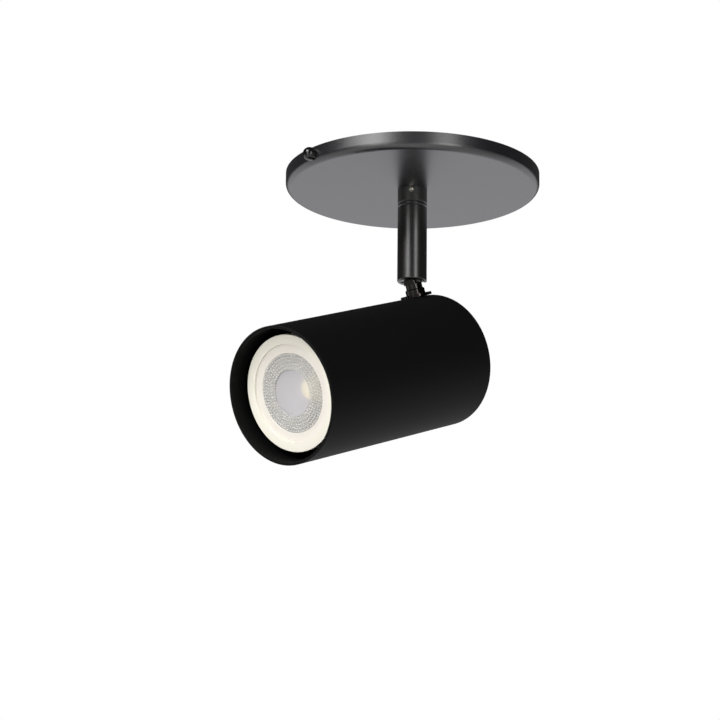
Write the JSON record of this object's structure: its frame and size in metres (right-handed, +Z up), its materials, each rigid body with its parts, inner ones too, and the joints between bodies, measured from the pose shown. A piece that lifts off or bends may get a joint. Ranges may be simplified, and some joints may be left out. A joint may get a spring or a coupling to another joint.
{
  "type": "surface mounted ceiling spotlight",
  "caption": "Black ceiling spotlight: a shallow round canopy carries a swivelling stem and a tilting cylindrical head that holds a twist-lock reflector lamp.",
  "frame": {"origin": "centre of the canopy on the ceiling plane, midway between the ceiling slots", "axes": "+Z up into the ceiling, Y through the canopy's thumb screw, which is on -Y, and the ceiling slots, the head pointing about -Y and down"},
  "size_m": [0.116, 0.1494, 0.1477],
  "materials": {
    "canopy_paint": "satin black",
    "stem_paint": "satin black",
    "head_paint": "matte black",
    "black_screw": "gloss black",
    "galvanised": "zinc plated",
    "steel": "plain",
    "nickel": "polished",
    "black_nickel": "polished dark plating",
    "yellow_brass": "turned",
    "lamp_white": "warm white, moulded",
    "lens_clear": "clear, moulded",
    "board": "white face",
    "phosphor": "yellow",
    "porcelain": "unglazed"
  },
  "bodies": {
    "ceiling_mount": {"canopy_cover": "canopy_paint", "mounting_bracket": "galvanised", "canopy_screw": "black_screw", "earth_washer": "yellow_brass", "earth_screw": "yellow_brass", "hollow_bolt": "steel", "bolt_washer": "galvanised", "bolt_nut": "galvanised", "swivel_collar": "stem_paint", "set_screw": "nickel", "friction_ring": "stem_paint", "spring_washer": "steel"},
    "stem": {"stem_tube": "stem_paint", "pivot_fork": "black_nickel", "tilt_pin": "steel", "friction_washer_left": "steel", "friction_washer_right": "steel"},
    "head": {"knuckle": "black_nickel", "toothed_washer": "black_nickel", "stud_nut": "galvanised", "head_housing": "head_paint", "holder_strap": "galvanised", "lamp_holder": "porcelain", "holder_screw_upper": "steel", "holder_screw_lower": "steel"},
    "lamp": {"lamp_shell": "lamp_white", "lamp_lens": "lens_clear", "led_board": "board", "led_chip": "phosphor", "lamp_pin_left": "nickel", "lamp_pin_right": "nickel"}
  },
  "joints": [
    {"name": "swivel", "type": "hinge", "parent": "ceiling_mount", "child": "stem", "pos_m": [0, 0, -0.0158], "axis": [0, 0, 1], "range_deg": [-175, 175]},
    {"name": "head_tilt", "type": "hinge", "parent": "stem", "child": "head", "pos_m": [0, 0, -0.0488], "axis": [0.9923, 0.1236, 0], "range_deg": [-19.7, 70.3]},
    {"name": "lamp_twist", "type": "hinge", "parent": "head", "child": "lamp", "pos_m": [0.01006, -0.08078, -0.11958], "axis": [0.1164, -0.9343, -0.3371], "range_deg": [0, 20]}
  ]
}
